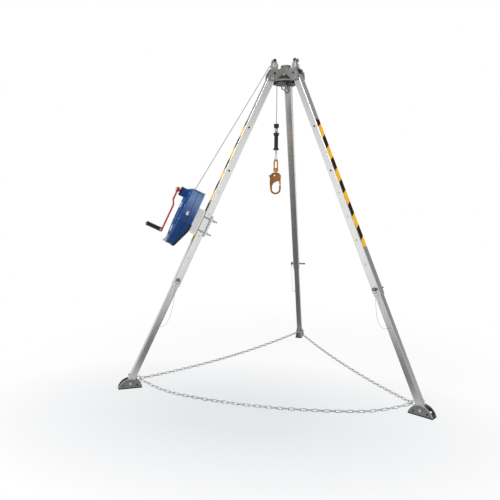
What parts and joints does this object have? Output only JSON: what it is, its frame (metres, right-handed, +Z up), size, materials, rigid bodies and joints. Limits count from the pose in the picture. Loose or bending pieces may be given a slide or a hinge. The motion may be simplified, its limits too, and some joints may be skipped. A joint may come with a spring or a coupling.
{
  "type": "rescue tripod",
  "caption": "Aluminium confined-space rescue tripod with telescoping legs, hinged shoes, base chain, head pulleys, leg-mounted crank winch, steel cable and swivel snap hook.",
  "frame": {"origin": "middle of the footprint on the floor", "axes": "+Z up, +Y towards the back leg, +X towards the right leg"},
  "size_m": [1.9574, 1.7722, 2.1412],
  "materials": {
    "cast_grey": "satin grey enamel on cast aluminium",
    "black_steel": "matt black",
    "zinc": "bright zinc plate",
    "leg_alu": "mill finish extrusion",
    "black_plastic": "moulded black plastic",
    "rubber": "black rubber",
    "galvanised": "galvanised",
    "blue_housing": "blue powder coat",
    "gear_steel": "oiled steel",
    "red_crank": "red enamel",
    "wire_rope": "stranded wire rope",
    "bronze": "yellow chromate on forged steel"
  },
  "bodies": {
    "head": {"head_casting": "cast_grey", "head_base_plate": "black_steel", "head_screws": "zinc", "leg_hinge_bolts": "zinc", "pulley_brackets": "cast_grey", "pulley_bolts": "black_steel", "anchor_eyebolts": "zinc", "cable_drop": "wire_rope"},
    "pulley_wheel_left": {"pulley_left": "zinc"},
    "pulley_wheel_right": {"pulley_right": "zinc"},
    "leg_upper_left": {"upper_tube_left": "leg_alu", "leg_cap_left": "black_plastic", "winch_clamp": "leg_alu", "clamp_bolts": "zinc", "winch_back_plate": "galvanised", "housing_rear": "blue_housing", "housing_front": "blue_housing", "brake_ring": "gear_steel", "carry_bracket": "zinc", "cable_run": "wire_rope"},
    "leg_lower_left": {"lower_tube_left": "leg_alu", "foot_eyebolt_left": "zinc", "shoe_bolt_left": "zinc", "lanyard_left": "wire_rope", "chain_left": "galvanised"},
    "pin_left": {"lock_pin_left": "black_steel"},
    "foot_left": {"shoe_left": "leg_alu", "sole_pad_left": "rubber"},
    "leg_upper_right": {"upper_tube_right": "leg_alu", "leg_cap_right": "black_plastic"},
    "leg_lower_right": {"lower_tube_right": "leg_alu", "foot_eyebolt_right": "zinc", "shoe_bolt_right": "zinc", "lanyard_right": "wire_rope", "chain_front": "galvanised"},
    "pin_right": {"lock_pin_right": "black_steel"},
    "foot_right": {"shoe_right": "leg_alu", "sole_pad_right": "rubber"},
    "leg_upper_back": {"upper_tube_back": "leg_alu", "leg_cap_back": "black_plastic"},
    "leg_lower_back": {"lower_tube_back": "leg_alu", "foot_eyebolt_back": "zinc", "shoe_bolt_back": "zinc", "lanyard_back": "wire_rope", "chain_right": "galvanised"},
    "pin_back": {"lock_pin_back": "black_steel"},
    "foot_back": {"shoe_back": "leg_alu", "sole_pad_back": "rubber"},
    "winch_drum": {"drum": "galvanised", "drum_cable": "wire_rope", "main_gear": "gear_steel"},
    "winch_crank": {"crank_shaft": "gear_steel", "crank_arm": "red_crank"},
    "grip": {"crank_grip": "black_plastic"},
    "line_end": {"line_fittings": "zinc", "line_grip": "rubber", "swivel_eye": "bronze"},
    "hook": {"hook_body": "bronze"},
    "gate": {"hook_gate": "bronze"},
    "lock": {"hook_lock": "bronze"}
  },
  "joints": [
    {"name": "leg_fold_left", "type": "hinge", "parent": "head", "child": "leg_upper_left", "pos_m": [-0.09353, -0.28289, 2.00671], "axis": [0.5, -0.866, 0], "range_deg": [0, 22], "deforming": ["chain_front", "chain_left", "cable_run", "cable_drop"]},
    {"name": "leg_slide_left", "type": "slide", "parent": "leg_upper_left", "child": "leg_lower_left", "axis": [-0.3701, -0.2137, -0.9041], "range_m": [-0.628, 0.314], "deforming": ["chain_front", "chain_left", "lanyard_left"]},
    {"name": "pin_pull_left", "type": "slide", "parent": "leg_lower_left", "child": "pin_left", "axis": [0.5, -0.866, 0], "range_m": [0, 0.104], "deforming": ["lanyard_left"]},
    {"name": "shoe_tilt_left", "type": "hinge", "parent": "leg_lower_left", "child": "foot_left", "pos_m": [-0.90109, -0.74914, 0.034], "axis": [0.5, -0.866, 0], "range_deg": [-20, 20]},
    {"name": "leg_fold_right", "type": "hinge", "parent": "head", "child": "leg_upper_right", "pos_m": [0.09353, -0.28289, 2.00671], "axis": [0.5, 0.866, 0], "range_deg": [0, 22], "deforming": ["chain_front", "chain_right"]},
    {"name": "leg_slide_right", "type": "slide", "parent": "leg_upper_right", "child": "leg_lower_right", "axis": [0.3701, -0.2137, -0.9041], "range_m": [-0.628, 0.314], "deforming": ["chain_front", "chain_right", "lanyard_right"]},
    {"name": "pin_pull_right", "type": "slide", "parent": "leg_lower_right", "child": "pin_right", "axis": [-0.5, -0.866, 0], "range_m": [0, 0.104], "deforming": ["lanyard_right"]},
    {"name": "shoe_tilt_right", "type": "hinge", "parent": "leg_lower_right", "child": "foot_right", "pos_m": [0.90109, -0.74914, 0.034], "axis": [0.5, 0.866, 0], "range_deg": [-20, 20]},
    {"name": "leg_fold_back", "type": "hinge", "parent": "head", "child": "leg_upper_back", "pos_m": [0, -0.12089, 2.00671], "axis": [-1, 0, 0], "range_deg": [0, 22], "deforming": ["chain_left", "chain_right"]},
    {"name": "leg_slide_back", "type": "slide", "parent": "leg_upper_back", "child": "leg_lower_back", "axis": [0, 0.4274, -0.9041], "range_m": [-0.628, 0.314], "deforming": ["chain_left", "chain_right", "lanyard_back"]},
    {"name": "pin_pull_back", "type": "slide", "parent": "leg_lower_back", "child": "pin_back", "axis": [-1, 0, 0], "range_m": [0, 0.104], "deforming": ["lanyard_back"]},
    {"name": "shoe_tilt_back", "type": "hinge", "parent": "leg_lower_back", "child": "foot_back", "pos_m": [0, 0.8116, 0.034], "axis": [-1, 0, 0], "range_deg": [-20, 20]},
    {"name": "drum_spin", "type": "hinge", "parent": "leg_upper_left", "child": "winch_drum", "pos_m": [-0.57225, -0.55928, 1.15085], "axis": [-0.783, -0.452, 0.4274], "range_deg": [-859.44, 180.07], "deforming": ["cable_drop"]},
    {"name": "crank_turn", "type": "hinge", "parent": "leg_upper_left", "child": "winch_crank", "pos_m": [-0.59801, -0.51642, 1.2496], "axis": [-0.783, -0.452, 0.4274], "range_deg": [-740.29, 3525.7]},
    {"name": "grip_spin", "type": "hinge", "parent": "winch_crank", "child": "grip", "pos_m": [-0.74936, -0.6038, 1.02029], "axis": [-0.783, -0.452, 0.4274], "continuous": true},
    {"name": "pulley_left_spin", "type": "hinge", "parent": "head", "child": "pulley_wheel_left", "pos_m": [-0.07275, -0.27089, 2.09671], "axis": [0.5, -0.866, 0], "range_deg": [-2617.69, 550.04]},
    {"name": "pulley_right_spin", "type": "hinge", "parent": "head", "child": "pulley_wheel_right", "pos_m": [0.07275, -0.27089, 2.09671], "axis": [0.5, 0.866, 0], "continuous": true},
    {"name": "hook_hoist", "type": "slide", "parent": "head", "child": "line_end", "axis": [0, 0, 1], "range_m": [-1.052, 0.222], "deforming": ["cable_drop"]},
    {"name": "hook_swivel", "type": "hinge", "parent": "line_end", "child": "hook", "pos_m": [-0.05283, -0.25939, 1.3991], "axis": [0, 0, 1], "continuous": true},
    {"name": "gate_open", "type": "hinge", "parent": "hook", "child": "gate", "pos_m": [-0.03011, -0.25579, 1.3601], "axis": [-0.1564, 0.9877, 0], "range_deg": [0, 32], "stiffness_Nm_per_rad": 0.25, "springref_deg": -20.05},
    {"name": "lock_press", "type": "hinge", "parent": "hook", "child": "lock", "pos_m": [-0.07456, -0.26283, 1.3721], "axis": [-0.1564, 0.9877, 0], "range_deg": [-10, 0], "stiffness_Nm_per_rad": 0.2, "springref_deg": 17.19}
  ],
  "couplings": [
    {"joint": "crank_turn", "follows": "drum_spin", "ratio": -4.1},
    {"joint": "hook_hoist", "follows": "drum_spin", "m_per_rad": 0.07},
    {"joint": "pulley_left_spin", "follows": "drum_spin", "ratio": 3.0435}
  ]
}
